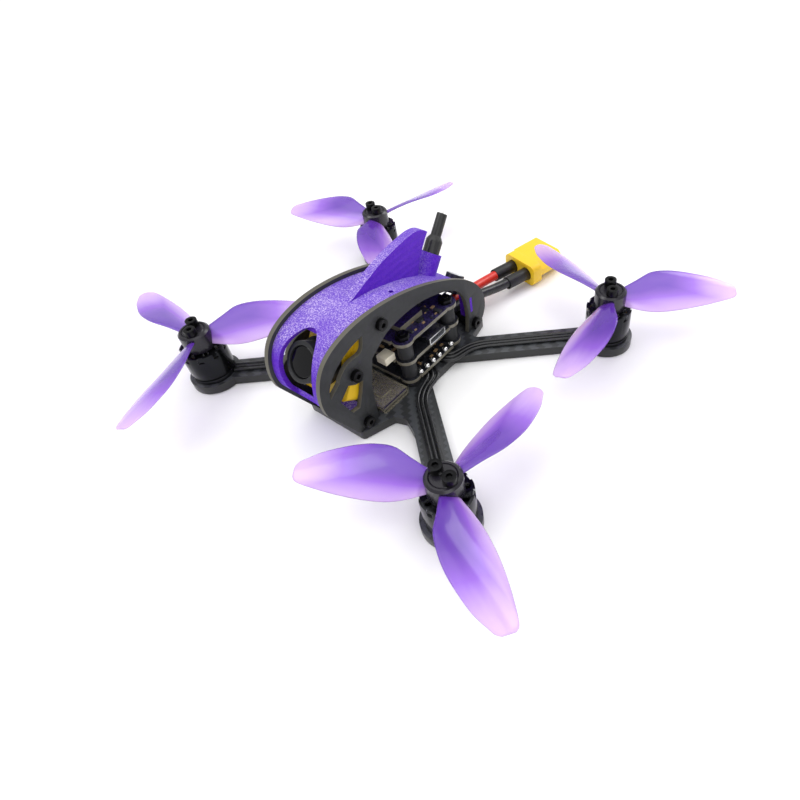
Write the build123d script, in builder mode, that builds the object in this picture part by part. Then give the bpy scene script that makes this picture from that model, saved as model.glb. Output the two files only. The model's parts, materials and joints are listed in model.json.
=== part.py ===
from build123d import *
from math import cos, pi, radians, sin, tan
import os

os.makedirs("parts", exist_ok=True)

# A three-inch racing quadcopter, millimetres, +Z up. The origin is the centre of the base plate's
# belly, -Y is forward and +X is the drone's left.

# Base plate, arms and side plates
base_thickness = 3.0
arm_angle = 39.5  # direction of an arm, away from the X axis
arm_width = 8.8
pad_radius = 8.2
plate_thickness = 1.5
frame_inner_width = 19.0  # between the side plates
canopy_inset = 1.2  # canopy skin below the plates' outer edge
canopy_skin = 1.4
standoff_radius = 2.0
tab_length = 5.0

# Propellers and motors
prop_diameter = 76.0
prop_to_plate = 1.1  # tip circle to side plate
hub_radius = 4.8
hub_height = 6.4
blade_thickness = 1.5
bell_radius = 7.0
bell_wall = 0.8
magnet_thickness = 0.7
air_gap = 0.3
stator_height = 5.6
shaft_radius = 0.75
shaft_clearance = 0.05
bearing_radius = 2.0
motor_bolt_circle = 9.0
prop_screw_pitch = 4.8
screw_turn = 85.8  # screw pair away from the first blade

# Screws, by their shanks and heads
m2_radius = 1.0
m2_head_radius = 1.8
m2_head_height = 2.2
button_height = 1.4
socket_depth = 1.0

# Electronics stack
stack_pitch = 20.0
stack_y = -0.5
stack_lobe = 3.3  # board corner round about each screw
board_thickness = 1.2
grommet_radius = 2.4
esc_gap = 2.4  # base plate to the first board
fc_gap = 6.2
vtx_gap = 5.8
pad_pitch = 3.0

# Camera
camera_pivot = (-30.0, 20.2)  # (y, height above the base plate)
camera_tilt = 35.0
camera_height = 18.6
camera_side_gap = 0.25
camera_back = 7.6
camera_face = 1.2
lens_radius = 5.8
lens_reach = 9.0

# Antenna
antenna_root = (13.4, 23.2)  # (y, height above the base plate)
antenna_lean = 38.5
socket_radius = 3.5
sleeve_radius = 2.6

# Battery pigtail
lead_diameter = 3.4
lead_sleeve_wall = 0.35
sleeve_gap = 0.25
pin_pitch = 7.2
connector_width = 15.6
connector_height = 8.0

# Values that follow from the driving ones
base_top = base_thickness
plate_in = frame_inner_width / 2
plate_out = plate_in + plate_thickness
motor_x = plate_out + prop_to_plate + prop_diameter / 2
motor_reach = motor_x / cos(radians(arm_angle))
motor_y = motor_reach * sin(radians(arm_angle))
ring_inner = bell_radius - bell_wall
magnet_inner = ring_inner - magnet_thickness
stator_radius = magnet_inner - air_gap
motor_floor = base_top + 1.4
stator_bottom = motor_floor + 1.0
bell_bottom = motor_floor + 0.6
bell_top = stator_bottom + stator_height + 3.0
hub_top = bell_top + hub_height
esc_bottom = base_top + esc_gap
esc_top = esc_bottom + board_thickness
fc_bottom = esc_top + fc_gap
fc_top = fc_bottom + board_thickness
vtx_bottom = fc_top + vtx_gap
vtx_top = vtx_bottom + board_thickness
stack_half = stack_pitch / 2
lead_radius = lead_diameter / 2
pivot = Vector(0, camera_pivot[0], base_top + camera_pivot[1])
tilt = radians(camera_tilt)
camera_plane = Plane(pivot, x_dir=(1, 0, 0), z_dir=(0, -cos(tilt), sin(tilt)))
lean = radians(antenna_lean)
antenna_axis = Vector(0, sin(lean), cos(lean))
antenna_plane = Plane((0, antenna_root[0], base_top + antenna_root[1]), x_dir=(1, 0, 0), z_dir=antenna_axis)

print("wheelbase", round(2 * motor_reach, 1), "motors at", round(motor_x, 2), round(motor_y, 2))

# Each corner: side of the drone, front or rear, blade angle at rest, spin seen from above
corners = {
    "front_left": (1, -1, 86.3, -1),
    "front_right": (-1, -1, 54.1, 1),
    "rear_left": (1, 1, 38.4, 1),
    "rear_right": (-1, 1, 76.2, -1),
}
stack_spots = GridLocations(stack_pitch, stack_pitch, 2, 2)


def hand_in(shape, name):
    """Labels a finished piece and writes its STEP file."""
    shape.label = name
    export_step(shape, f"parts/{name}.step")


def at_corner(side, end):
    """The plane of the belly, centred on one motor."""
    return Plane((side * motor_x, end * motor_y, 0))


def side_plane(x):
    """A plane across the drone at x whose own x runs aft and own y runs up."""
    return Plane((x, 0, 0), x_dir=(0, 1, 0), z_dir=(1, 0, 0))


def over(*points):
    """Points given as (y, height above the base plate), as (y, z)."""
    return [(y, base_top + height) for y, height in points]


def ring(plane, outer, inner, height):
    """A plain tube, or a rod where inner is 0, standing on a plane."""
    with BuildPart() as tube:
        with BuildSketch(plane):
            Circle(outer)
            if inner:
                Circle(inner, mode=Mode.SUBTRACT)
        extrude(amount=height)
    return tube.part


# Base plate: a body, four arms with round motor pads, slots for the side plates' tabs
front_tab = -30.5
rear_tab = 22.0
nose_y = -34.0
tail_y = 27.0
with BuildPart() as base_plate:
    with BuildSketch():
        with BuildLine():
            Polyline((0, nose_y), (plate_out + 0.4, nose_y), (plate_out + 4.0, -24.0),
                     (plate_out + 7.8, -22.8), (plate_out + 14.0, -26.0), (plate_out + 3.2, -14.0),
                     (plate_out + 3.2, 12.0), (plate_out - 0.2, tail_y), (0, tail_y))
            mirror(about=Plane.YZ)
        make_face()
        for side, end in ((1, -1), (1, 1), (-1, -1), (-1, 1)):
            with Locations(Location((side * motor_x / 2, end * motor_y / 2), side * end * arm_angle)):
                Rectangle(motor_reach, arm_width)
            with Locations((side * motor_x, end * motor_y)):
                Circle(pad_radius)
    extrude(amount=base_thickness)
    corner_edges = base_plate.edges().filter_by(Axis.Z)
    fillet([e for e in corner_edges if plate_out - 1 < abs(e.center().X) < plate_out + 8.5], radius=1.4)
    for y in (front_tab, rear_tab):
        with BuildSketch():
            for side in (-1, 1):
                with Locations((side * (plate_in + plate_thickness / 2), y)):
                    Rectangle(plate_thickness, tab_length)
        extrude(amount=base_thickness, mode=Mode.SUBTRACT)
    with Locations(Plane((0, stack_y, 0), z_dir=(0, 0, -1))):
        with stack_spots:
            CounterSinkHole(radius=m2_radius, counter_sink_radius=m2_head_radius, depth=base_thickness)
    for side, end in ((1, -1), (1, 1), (-1, -1), (-1, 1)):
        with Locations(Plane((side * motor_x, end * motor_y, 0), z_dir=(0, 0, -1))):
            Hole(radius=shaft_radius + 1.2, depth=base_thickness)
            with PolarLocations(motor_bolt_circle / 2, 4, start_angle=45):
                CounterSinkHole(radius=m2_radius, counter_sink_radius=m2_head_radius, depth=base_thickness)
hand_in(base_plate.part, "base_plate")

# Side plates: an arched contour over two feet, with three windows, screw holes and a narrow slot
upper_screw = (-17.5, 29.0)
rear_screw = (22.0, standoff_radius)
front_screw = (-30.5, standoff_radius)
frame_screws = (upper_screw, rear_screw, front_screw)
bulkhead_y = 21.0
bulkhead_thickness = 1.0
bulkhead_slot = (7.0, 12.6)  # heights above the base plate
bulkhead_low = 2 * standoff_radius + 0.1
bulkhead_top = 16.8
band_start = 0.175  # how far along the arch the canopy starts
nose_low = (-34.3, 0.0)
nose_chin = (-41.8, 14.4)
tail_foot = (25.4, 0.0)
nose_fall = Vector(nose_low[0] - nose_chin[0], nose_low[1] - nose_chin[1]).normalized()
arch = Spline(*over(tail_foot, (28.3, 5.2), (27.0, 12.0), (19.8, 20.2), (9.3, 26.4), (-4.8, 31.7),
                    (-17.9, 34.1), (-30.0, 33.4), (-38.5, 29.2), (-42.1, 21.6), nose_chin))


def plate_contour():
    """The side plates' closed outer outline, drawn aft to front over the top."""
    with BuildSketch() as contour:
        with BuildLine():
            add(arch)
            Polyline(*over(nose_chin, nose_low, tail_foot))
        make_face()
    return contour.sketch


def inside_arch(inset):
    """The arch moved inwards, from the rear end of the canopy's band to the nose, as (y, z) points."""
    points = []
    for step in range(17):
        place = band_start + (1 - band_start) * step / 16
        along = arch % place
        points.append(arch @ place + Vector(-along.Y, along.X) * inset)
    return points


def big_window():
    """The opening beside the stack, open at the base plate."""
    with BuildSketch() as window:
        with BuildLine():
            Spline(*over((-17.1, 24.2), (-10.5, 25.7), (-2.0, 25.6), (6.0, 23.6), (13.4, 20.2), (18.0, 14.2),
                         (19.1, 7.0), (18.2, 0.0)), tangents=((1.0, 0.45), (-0.2, -1.0)))
            Polyline(*over((18.2, 0.0), (18.2, -0.1), (-26.2, -0.1), (-26.2, 2.0), (-25.6, 12.0),
                           (-23.0, 20.6), (-17.1, 24.2)))
        make_face()
    return window.sketch


def crescent_window():
    """The curved opening ahead of and above the camera pivot."""
    with BuildSketch() as window:
        with BuildLine():
            Spline(*over((-39.3, 18.9), (-37.6, 23.6), (-33.4, 27.0), (-28.8, 28.9), (-24.2, 29.6)))
            Spline(*over((-24.2, 29.6), (-26.0, 25.3), (-31.0, 24.9), (-35.2, 21.8), (-39.3, 18.9)),
                   tangents=((-0.2, -1.0), (-1.0, -0.6)))
        make_face()
    return window.sketch


def lower_window():
    """The opening below the camera pivot."""
    with BuildSketch() as window:
        with BuildLine():
            Polyline(*over((-36.9, 15.4), (-34.2, 8.9), (-31.6, 8.6), (-29.4, 12.8), (-27.9, 16.4),
                           (-30.5, 16.9), (-33.0, 18.5), (-36.9, 15.4)))
        make_face()
    return window.sketch


for name, side in (("left", 1), ("right", -1)):
    inner = min(side * plate_in, side * plate_out)
    with BuildPart() as side_plate:
        with BuildSketch(side_plane(inner)):
            add(plate_contour())
            with Locations(*over((front_tab, -base_thickness / 2), (rear_tab, -base_thickness / 2))):
                Rectangle(tab_length, base_thickness)
        extrude(amount=plate_thickness)
        with BuildSketch(side_plane(inner)):
            add(big_window())
            add(crescent_window())
            add(lower_window())
            with Locations(*over((bulkhead_y, sum(bulkhead_slot) / 2))):
                Rectangle(bulkhead_thickness, bulkhead_slot[1] - bulkhead_slot[0])
            with Locations(*over(*frame_screws)):
                Circle(m2_radius)
            with Locations((pivot.Y, pivot.Z)):
                Circle(m2_radius + shaft_clearance)
        extrude(amount=plate_thickness, mode=Mode.SUBTRACT)
    hand_in(side_plate.part, f"side_plate_{name}")

# Cross standoffs and the button-head screws that clamp the side plates to them
with BuildPart() as standoffs:
    with BuildSketch(side_plane(-plate_in)):
        with Locations(*over(*frame_screws)):
            Circle(standoff_radius)
    extrude(amount=frame_inner_width)
    screw_grip = 5.0
    for x in (-plate_in, plate_in - screw_grip):
        with BuildSketch(side_plane(x)):
            with Locations(*over(*frame_screws)):
                Circle(m2_radius)
        extrude(amount=screw_grip, mode=Mode.SUBTRACT)
hand_in(standoffs.part, "standoffs")


def cross_screw(side, y, z, length, gap):
    """A button-head screw through a side plate, its socket outwards."""
    out = Plane((side * (plate_out + gap), y, z), x_dir=(0, side, 0), z_dir=(side, 0, 0))
    with BuildPart() as screw:
        add(ring(out.offset(-length), m2_radius, 0, length))
        add(ring(out, m2_head_radius, 0, button_height))
        with BuildSketch(out.offset(button_height)):
            RegularPolygon(0.8, 6)
        extrude(amount=-socket_depth * 0.8, mode=Mode.SUBTRACT)
    return screw.part


with BuildPart() as side_plate_screws:
    for side in (-1, 1):
        for y, height in frame_screws:
            add(cross_screw(side, y, base_top + height, plate_thickness + screw_grip - 0.5, 0))
hand_in(side_plate_screws.part, "side_plate_screws")

# Canopy: a printed band between the side plates with a fin, a lens window, a rear bulkhead and a socket
fin_half = 1.5
nose_shift = Vector(-nose_fall.Y, nose_fall.X)
band_foot_height = 2.2
nose_foot = Vector(nose_low[0], base_top) - nose_fall * (band_foot_height / -nose_fall.Y)
boss_wall = 1.2
window_tilt = radians(25)
window_plane = Plane(pivot, x_dir=(1, 0, 0), z_dir=(0, -cos(window_tilt), sin(window_tilt)))
with BuildPart() as canopy:
    outer, inner = inside_arch(canopy_inset), inside_arch(canopy_inset + canopy_skin)
    with BuildSketch(side_plane(-plate_in)):
        with BuildLine():
            Spline(*outer)
            Polyline(outer[-1], nose_foot + nose_shift * canopy_inset,
                     nose_foot + nose_shift * (canopy_inset + canopy_skin), inner[-1])
            Spline(*inner)
            Line(inner[0], outer[0])
        make_face()
    extrude(amount=frame_inner_width)
    with BuildSketch(side_plane(-plate_in)):
        with Locations(*over((bulkhead_y, (bulkhead_low + bulkhead_top) / 2))):
            Rectangle(bulkhead_thickness, bulkhead_top - bulkhead_low)
    extrude(amount=frame_inner_width)
    with BuildSketch(side_plane(-plate_out)):
        with Locations(*over((bulkhead_y, sum(bulkhead_slot) / 2))):
            Rectangle(bulkhead_thickness, bulkhead_slot[1] - bulkhead_slot[0])
    extrude(amount=2 * plate_out)
    with BuildSketch(side_plane(-fin_half)):
        with BuildLine():
            Spline(*over((-21.0, 32.2), (-13.0, 34.6), (-4.5, 37.3), (5.0, 38.9), (13.2, 38.4), (15.6, 36.6)))
            Spline(*over((15.6, 36.6), (11.6, 31.4), (8.6, 24.8)))
            Polyline(*over((8.6, 24.8), (-4.0, 29.6), (-21.0, 32.2)))
        make_face()
    extrude(amount=2 * fin_half)
    add(ring(antenna_plane.offset(-2.4), socket_radius, 0, 8.6))
    with BuildSketch(side_plane(-plate_in)):
        with Locations(*over(upper_screw, front_screw)):
            Circle(standoff_radius + boss_wall)
        with Locations((front_screw[0], base_top)):
            Rectangle(4 * standoff_radius, standoff_radius, align=(Align.CENTER, Align.MIN), mode=Mode.SUBTRACT)
            Rectangle(4 * standoff_radius, 2 * boss_wall, align=(Align.CENTER, Align.MAX), mode=Mode.SUBTRACT)
    extrude(amount=frame_inner_width)
    with BuildSketch(side_plane(-plate_in)):
        with Locations(*over(*frame_screws)):
            Circle(standoff_radius)
    extrude(amount=frame_inner_width, mode=Mode.SUBTRACT)
    with BuildSketch(Plane.XZ.offset(-bulkhead_y - 4)):
        with Locations((0, base_top + 8.0)):
            RectangleRounded(13.0, 13.0, 2.0)
    extrude(amount=8, mode=Mode.SUBTRACT)
    with BuildSketch(window_plane.offset(5)):
        with Locations((0, -2.0)):
            Ellipse(lens_radius + 0.8, 12.6)
    extrude(amount=16, mode=Mode.SUBTRACT)
    add(ring(antenna_plane.offset(-6), sleeve_radius, 0, 16), mode=Mode.SUBTRACT)
hand_in(canopy.part, "canopy")

# Motors: a base with its bearing tube, a laminated stator with windings, a bell with magnets, a shaft
tube_radius = bearing_radius + 0.6
tube_top = stator_bottom + stator_height + 0.8
bell_lid = 1.4
spokes = 9


def motor_base(at):
    """The fixed base: a drilled disc with a bearing tube standing on it."""
    with BuildPart() as part:
        add(ring(at.offset(base_top), bell_radius - 0.1, 0, motor_floor - base_top))
        add(ring(at.offset(base_top), tube_radius, 0, tube_top - base_top))
        with BuildSketch(at.offset(base_top)):
            Circle(bearing_radius)
            with PolarLocations(motor_bolt_circle / 2, 4, start_angle=45):
                Circle(m2_radius)
        extrude(amount=tube_top, mode=Mode.SUBTRACT)
    return part.part


def motor_bell(at, turn):
    """The turning bell: a wall, a lid with openings and notches, a shaft hole and two screw holes."""
    with BuildPart() as part:
        add(ring(at.offset(bell_bottom), bell_radius, ring_inner, bell_top - bell_bottom))
        add(ring(at.offset(bell_top - bell_lid), bell_radius, shaft_radius, bell_lid))
        with BuildSketch(at.offset(bell_top)):
            with PolarLocations(prop_screw_pitch / 2, 2, start_angle=turn):
                Circle(m2_radius)
            with PolarLocations(hub_radius + 0.4, spokes, start_angle=turn):
                Circle(0.95)
        extrude(amount=-bell_lid, mode=Mode.SUBTRACT)
        with BuildSketch(at.offset(bell_top)):
            with PolarLocations(bell_radius, spokes, start_angle=turn + 20):
                Rectangle(1.0, 1.7)
        extrude(amount=-2.0, mode=Mode.SUBTRACT)
    return part.part


def magnets(at):
    """Twelve curved magnets glued inside the bell."""
    with BuildPart() as part:
        with BuildSketch(at.offset(bell_bottom + 0.3)):
            Circle(ring_inner)
            Circle(magnet_inner, mode=Mode.SUBTRACT)
            with PolarLocations(ring_inner, 12):
                Rectangle(2 * magnet_thickness + 1, 0.5, mode=Mode.SUBTRACT)
        extrude(amount=stator_height + 0.8)
    return part.part


def propeller(at, blade_angle, spin):
    """Three twisted blades on a hub; spin +1 turns anticlockwise seen from above."""
    mid = bell_top + hub_height * 0.5
    stations = ((4.0, 2.8, 2.8, 36), (9.0, 5.4, 4.8, 33), (13.5, 7.6, 5.8, 30), (18.5, 8.0, 6.0, 26),
                (23.0, 7.5, 5.8, 22), (28.0, 6.2, 5.3, 19), (32.5, 4.6, 4.6, 16), (36.0, 2.6, 3.9, 14),
                (prop_diameter / 2 - 0.3, 0.2, 2.4, 13))
    reach = prop_diameter / 76.0
    with BuildPart() as blade:
        for radius, lead, trail, pitch in stations:
            radial = Vector(1, 0, 0).rotate(Axis.Z, blade_angle)
            across = Vector(0, 1, 0).rotate(Axis.Z, blade_angle)
            chord = across * (spin * cos(radians(pitch))) + Vector(0, 0, sin(radians(pitch)))
            middle = (lead - trail) / 2
            radius = radius if radius > 37 * reach else radius * reach
            centre = at.origin + radial * radius + chord * middle + Vector(0, 0, mid)
            with BuildSketch(Plane(centre, x_dir=chord, z_dir=radial)):
                Ellipse((lead + trail) / 2, blade_thickness / 2 * (1 - 0.4 * radius / prop_diameter * 2))
        loft()
    with BuildPart() as part:
        add(blade.part)
        for quarter in (120, 240):
            add(blade.part.rotate(Axis(at.origin, (0, 0, 1)), quarter))
        add(ring(at.offset(bell_top), hub_radius, 0, hub_height))
        with BuildSketch(at.offset(bell_top)):
            Circle(shaft_radius)
            with PolarLocations(prop_screw_pitch / 2, 2, start_angle=blade_angle + screw_turn):
                Circle(m2_radius)
        extrude(amount=hub_height, mode=Mode.SUBTRACT)
    return part.part


def prop_screws(at, turn):
    """Two socket-cap screws through the hub into the bell."""
    with BuildPart() as part:
        spots = PolarLocations(prop_screw_pitch / 2, 2, start_angle=turn)
        for start, radius, height, mode in ((bell_top - bell_lid, m2_radius, hub_height + bell_lid, Mode.ADD),
                                            (hub_top, m2_head_radius, m2_head_height, Mode.ADD)):
            with BuildSketch(at.offset(start)):
                with spots:
                    Circle(radius)
            extrude(amount=height, mode=mode)
        with BuildSketch(at.offset(hub_top + m2_head_height)):
            with spots:
                RegularPolygon(0.85, 6)
        extrude(amount=-socket_depth, mode=Mode.SUBTRACT)
    return part.part


for corner, (side, end, blade_angle, spin) in corners.items():
    motor = at_corner(side, end)
    hand_in(motor_base(motor), f"motor_base_{corner}")
    hand_in(motor_bell(motor, blade_angle + screw_turn), f"motor_bell_{corner}")
    hand_in(magnets(motor), f"rotor_magnets_{corner}")
    with BuildPart() as shaft:
        add(ring(motor.offset(base_top + 0.4), shaft_radius, 0, hub_top - 0.3 - base_top - 0.4))
    hand_in(shaft.part, f"motor_shaft_{corner}")
    hand_in(propeller(motor, blade_angle, spin), f"propeller_{corner}")
    hand_in(prop_screws(motor, blade_angle + screw_turn), f"prop_screws_{corner}")

motors = [at_corner(side, end) for side, end, angle, spin in corners.values()]
tooth_width = 1.0
with BuildPart() as stators:
    for motor in motors:
        with BuildSketch(motor.offset(stator_bottom)):
            Circle(stator_radius)
            Circle(stator_radius - 0.7, mode=Mode.SUBTRACT)
            with PolarLocations(stator_radius, spokes, start_angle=20):
                Rectangle(2.0, 0.5, mode=Mode.SUBTRACT)
            with PolarLocations((tube_radius + stator_radius - 0.3) / 2, spokes):
                Rectangle(stator_radius - 0.3 - tube_radius - 0.1, tooth_width)
            Circle(tube_radius + 0.8)
            Circle(tube_radius, mode=Mode.SUBTRACT)
        extrude(amount=stator_height)
hand_in(stators.part, "stators")

coil_inner = tube_radius + 0.9
coil_outer = stator_radius - 0.8
with BuildPart() as windings:
    for motor in motors:
        for start, height, width, mode in ((stator_bottom - 0.4, stator_height + 0.8, 1.9, Mode.ADD),
                                           (stator_bottom, stator_height, tooth_width, Mode.SUBTRACT)):
            with BuildSketch(motor.offset(start)):
                with PolarLocations((coil_inner + coil_outer) / 2, spokes):
                    Rectangle(coil_outer - coil_inner, width)
            extrude(amount=height, mode=mode)
hand_in(windings.part, "stator_windings")

bearing_height = 2.0
with BuildPart() as bearings:
    for motor in motors:
        for start in (base_top + 0.6, tube_top - bearing_height):
            add(ring(motor.offset(start), bearing_radius, shaft_radius + shaft_clearance, bearing_height))
hand_in(bearings.part, "motor_bearings")

sunk_depth = (m2_head_radius - m2_radius) / tan(radians(41))


def sunk_screws(spots, length):
    """Countersunk screws up through the belly at the given places, for use inside a part."""
    with spots:
        Cone(m2_head_radius, m2_radius, sunk_depth, align=(Align.CENTER, Align.CENTER, Align.MIN))
        Cylinder(m2_radius, length, align=(Align.CENTER, Align.CENTER, Align.MIN))
        Cylinder(0.7, 0.8, align=(Align.CENTER, Align.CENTER, Align.MIN), mode=Mode.SUBTRACT)


with BuildPart() as motor_screws:
    for motor in motors:
        with Locations(motor):
            sunk_screws(PolarLocations(motor_bolt_circle / 2, 4, start_angle=45), motor_floor)
hand_in(motor_screws.part, "motor_screws")

# Stack: three boards on four long screws with rubber grommets between them
nut_height = 1.4
with BuildPart() as stack_screws:
    with Locations((0, stack_y, 0)):
        sunk_screws(stack_spots, vtx_top + nut_height + 0.5)
hand_in(stack_screws.part, "stack_screws")


def board(bottom, width, depth):
    """One bare board with round lobes about its screws."""
    with BuildPart() as blank:
        with BuildSketch(Plane.XY.offset(bottom)):
            with Locations((0, stack_y)):
                Rectangle(width, 2 * stack_half - 4)
                Rectangle(2 * stack_half - 4, depth)
                Rectangle(2 * stack_half, 2 * stack_half)
                with stack_spots:
                    Circle(stack_lobe)
                    Circle(m2_radius, mode=Mode.SUBTRACT)
        extrude(amount=board_thickness)
    return blank.part


def block(x, y, z, width, depth, height, mode=Mode.ADD):
    """A box by its centre in plan and its bottom, for use inside a part."""
    with Locations((x, y, z)):
        Box(width, depth, height, align=(Align.CENTER, Align.CENTER, Align.MIN), mode=mode)


board_edge = stack_half + stack_lobe
with BuildPart() as esc_board:
    add(board(esc_bottom, 2 * board_edge, 2 * board_edge - 1.6))
    for x in (-6.0, 0.0, 6.0):
        for y in (-5.0, 3.5):
            block(x, stack_y + y, esc_top, 3.6, 3.6, 0.9)
hand_in(esc_board.part, "esc_board")

lead_spread = 2.0
lead_start_y = 9.0
lead_middle = 1.2
lead_z = esc_top + lead_radius + 0.1
with BuildPart() as esc_solder_joints:
    for side in (-1, 1):
        for step in range(6):
            y = stack_y + (step - 2.5) * pad_pitch + 0.1
            with Locations((side * (board_edge - 0.7), y, esc_top + 0.5)):
                Sphere(0.9)
        block(lead_middle + side * lead_spread, lead_start_y - 0.8, esc_top, 2.6, 1.4, 2.6)
    block(0, 0, 0, 4 * board_edge, 4 * board_edge, esc_top, Mode.SUBTRACT)
hand_in(esc_solder_joints.part, "esc_solder_joints")

with BuildPart() as fc_board:
    add(board(fc_bottom, 2 * board_edge - 0.8, 2 * board_edge - 0.8))
    block(-2.5, stack_y + 2.0, fc_top, 7.0, 7.0, 0.9)
    block(3.4, stack_y - 5.5, fc_top, 4.0, 4.0, 0.9)
hand_in(fc_board.part, "fc_board")

usb_width = 7.4
usb_y = 1.0
with BuildPart() as usb_port:
    block(board_edge - 2.4, usb_y, fc_top, 5.2, usb_width, 2.5)
    with BuildSketch(side_plane(board_edge + 0.2)):
        with Locations((usb_y, fc_top + 1.25)):
            RectangleRounded(usb_width - 0.8, 1.7, 0.5)
    extrude(amount=-4.6, mode=Mode.SUBTRACT)
hand_in(usb_port.part, "usb_port")

with BuildPart() as wire_connector:
    block(6.2, stack_y - board_edge - 1.5, fc_top, 5.0, 5.4, 3.3)
hand_in(wire_connector.part, "wire_connector")

button_spot = (-5.0, 7.0)
button_radius = 0.7
switch_height = 1.3
with BuildPart() as vtx_board:
    add(board(vtx_bottom, 2 * board_edge - 1.2, 2 * board_edge - 1.2))
    block(2.5, stack_y - 3.0, vtx_top, 11.0, 10.0, 1.8)
    block(button_spot[0], button_spot[1], vtx_top, 3.2, 3.2, switch_height)
    with Locations((button_spot[0], button_spot[1], vtx_top + 0.2)):
        Cylinder(button_radius + shaft_clearance, switch_height, mode=Mode.SUBTRACT,
                 align=(Align.CENTER, Align.CENTER, Align.MIN))
hand_in(vtx_board.part, "vtx_board")

button_travel = 0.25
with BuildPart() as channel_button:
    with Locations((button_spot[0], button_spot[1], vtx_top + 0.2 + button_travel + 0.1)):
        Cylinder(button_radius, switch_height + 0.3, align=(Align.CENTER, Align.CENTER, Align.MIN))
hand_in(channel_button.part, "channel_button")

with BuildPart() as grommets:
    for start, height in ((base_top, esc_gap), (esc_top, fc_gap), (fc_top, vtx_gap)):
        with BuildSketch(Plane.XY.offset(start)):
            with Locations((0, stack_y)):
                with stack_spots:
                    Circle(grommet_radius)
                    Circle(m2_radius, mode=Mode.SUBTRACT)
        extrude(amount=height)
hand_in(grommets.part, "grommets")

with BuildPart() as stack_nuts:
    with BuildSketch(Plane.XY.offset(vtx_top)):
        with Locations((0, stack_y)):
            with stack_spots:
                RegularPolygon(2.0, 6, major_radius=False)
                Circle(m2_radius, mode=Mode.SUBTRACT)
    extrude(amount=nut_height)
hand_in(stack_nuts.part, "stack_nuts")

# Capacitor behind the bulkhead, its legs soldered on the battery leads
capacitor_radius = 3.15
capacitor_length = 6.5
capacitor_root = (23.6, 9.1)  # (y, height above the base plate)
capacitor_lean = radians(38)
capacitor_plane = Plane((0, capacitor_root[0], base_top + capacitor_root[1]), x_dir=(1, 0, 0),
                        z_dir=(0, sin(capacitor_lean), cos(capacitor_lean)))
with BuildPart() as capacitor:
    add(ring(capacitor_plane, capacitor_radius, 0, capacitor_length))
    fillet(capacitor.edges().filter_by(GeomType.CIRCLE), radius=0.4)
    for side in (-1, 1):
        foot = Vector(lead_middle + side * lead_spread, lead_start_y + 3.0, lead_z + lead_radius + 0.5)
        with BuildLine() as leg:
            FilletPolyline(capacitor_plane.from_local_coords((side * 1.2, 0, 0.1)),
                           (foot.X, lead_start_y + 7.0, foot.Z + 1.7), foot + Vector(0, 0, 1.5), foot,
                           radius=0.6)
        with BuildSketch(Plane(origin=leg.line @ 0, z_dir=leg.line % 0)):
            Circle(0.3)
        sweep()
hand_in(capacitor.part, "capacitor")

# Receiver in a clear shrink sleeve, lying on the base plate and reaching through the left window
receiver_length = 16.0
receiver_width = 10.4
receiver_x = 12.4
receiver_y = -19.6
with BuildPart() as receiver_board:
    receiver_middle = receiver_x - 0.5 - receiver_length / 2
    block(receiver_middle, receiver_y, base_top + 0.9, receiver_length, receiver_width, 0.9)
    block(receiver_x - 6.0, receiver_y, base_top + 1.8, 4.2, 4.2, 0.9)
    block(receiver_x - 12.0, receiver_y, base_top + 1.8, 3.0, 5.0, 0.8)
hand_in(receiver_board.part, "receiver_board")

with BuildPart() as receiver_sleeve:
    with BuildSketch(side_plane(receiver_x - receiver_length - 1.0)):
        with Locations(*over((receiver_y, 1.7))):
            RectangleRounded(receiver_width + 0.7, 3.3, 1.2)
            RectangleRounded(receiver_width + 0.1, 2.7, 0.4, mode=Mode.SUBTRACT)
    extrude(amount=receiver_length + 1.0)
hand_in(receiver_sleeve.part, "receiver_sleeve")

# Camera on its two side screws, tilted about them
lens_holder = 6.9
housing_width = frame_inner_width - 2 * camera_side_gap
thread_depth = 3.0
with BuildPart() as camera_housing:
    with BuildSketch(camera_plane.offset(-camera_back)):
        RectangleRounded(housing_width, camera_height, 1.5)
    extrude(amount=camera_back - 1.0)
    with BuildSketch(camera_plane.offset(-1.0)):
        RectangleRounded(14.4, camera_height - 0.6, 2.0)
    extrude(amount=1.0 + camera_face)
    fillet(camera_housing.edges().group_by(Axis(pivot, camera_plane.z_dir))[0], radius=0.8)
    for x, depth in ((-housing_width / 2, thread_depth), (housing_width / 2 - thread_depth, thread_depth)):
        with BuildSketch(side_plane(x)):
            with Locations((pivot.Y, pivot.Z)):
                Circle(m2_radius)
        extrude(amount=depth, mode=Mode.SUBTRACT)
hand_in(camera_housing.part, "camera_housing")

with BuildPart() as camera_board:
    with BuildSketch(camera_plane.offset(-camera_back)):
        RectangleRounded(15.0, 15.0, 1.5)
    extrude(amount=-board_thickness)
hand_in(camera_board.part, "camera_board")

glass_recess = 1.0
lens_rim = 1.3
with BuildPart() as camera_lens:
    add(ring(camera_plane.offset(camera_face), lens_holder, 0, 2.6))
    add(ring(camera_plane.offset(camera_face + 2.6), lens_radius, 0, lens_reach - camera_face - 2.6))
    add(ring(camera_plane.offset(lens_reach - glass_recess), lens_radius - lens_rim, 0, glass_recess),
        mode=Mode.SUBTRACT)
hand_in(camera_lens.part, "camera_lens")

with BuildPart() as lens_glass:
    add(ring(camera_plane.offset(lens_reach - glass_recess), lens_radius - lens_rim, 0, 0.6))
    fillet(lens_glass.edges().sort_by(Axis(pivot, camera_plane.z_dir))[-1], radius=0.5)
hand_in(lens_glass.part, "lens_glass")

head_gap = 0.12
with BuildPart() as camera_screws:
    for side in (-1, 1):
        length = plate_thickness + head_gap + camera_side_gap + thread_depth - 0.2
        add(cross_screw(side, pivot.Y, pivot.Z, length, head_gap))
hand_in(camera_screws.part, "camera_screws")

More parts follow.
